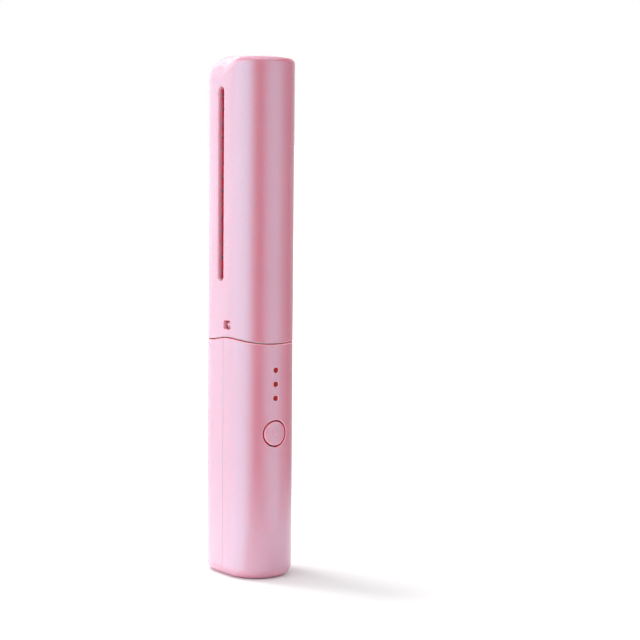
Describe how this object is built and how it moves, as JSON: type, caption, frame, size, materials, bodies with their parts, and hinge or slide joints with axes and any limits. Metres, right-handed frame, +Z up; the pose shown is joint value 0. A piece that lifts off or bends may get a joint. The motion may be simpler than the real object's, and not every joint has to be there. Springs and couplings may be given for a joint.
{
  "type": "hot comb",
  "caption": "Pocket-size cordless hot comb: an oval handle with a power button and lights, a round heated barrel with a row of teeth, and a slide-off cap.",
  "frame": {"origin": "on the flat base, on the oval body's axis", "axes": "+Z up the comb from the base to the cap's top, -X towards the tooth side, -Y towards the button side"},
  "size_m": [0.0288, 0.037, 0.2],
  "materials": {
    "pearl_pink": "pearlescent gloss",
    "core_aluminium": "machined",
    "ceramic": "fired ceramic",
    "copper_alloy": "rolled strip",
    "film": "amber insulating film",
    "plated_steel": "plated",
    "black_plastic": "moulded",
    "white_insulation": "extruded",
    "black_insulation": "extruded",
    "red_insulation": "extruded",
    "screw_steel": "zinc plated",
    "diffuser": "tinted, translucent",
    "led_white": "moulded",
    "board_green": "solder mask",
    "cell_wrap": "shrink sleeve",
    "nickel": "rolled strip",
    "foam": "foam"
  },
  "bodies": {
    "comb": {"handle_front_shell": "pearl_pink", "handle_back_shell": "pearl_pink", "comb_front_shell": "pearl_pink", "comb_back_shell": "pearl_pink", "comb_blade": "pearl_pink", "heating_core": "core_aluminium", "heater_tiles": "ceramic", "electrode_strips": "copper_alloy", "insulation_sleeve": "film", "thermal_fuse": "plated_steel", "temperature_sensor": "black_plastic", "heater_leads": "white_insulation", "sensor_leads": "black_insulation", "neck_screws": "screw_steel", "switch_body": "black_plastic", "light_guide": "diffuser", "indicator_leds": "led_white", "circuit_board": "board_green", "board_chips": "black_plastic", "board_screws": "screw_steel", "charging_socket": "plated_steel", "charging_tongue": "black_plastic", "battery_cell": "cell_wrap", "battery_tabs": "nickel", "battery_pads": "foam", "battery_lead_red": "red_insulation", "battery_lead_black": "black_insulation"},
    "button": {"power_button": "pearl_pink", "switch_plunger": "black_plastic"},
    "cap": {"cap_shell": "pearl_pink"}
  },
  "joints": [
    {"name": "cap_slide", "type": "slide", "parent": "comb", "child": "cap", "axis": [0, 0, 1], "range_m": [0, 0.115]},
    {"name": "button_press", "type": "slide", "parent": "comb", "child": "button", "axis": [0, 1, 0], "range_m": [0, 0.0004], "stiffness_N_per_m": 3000}
  ]
}
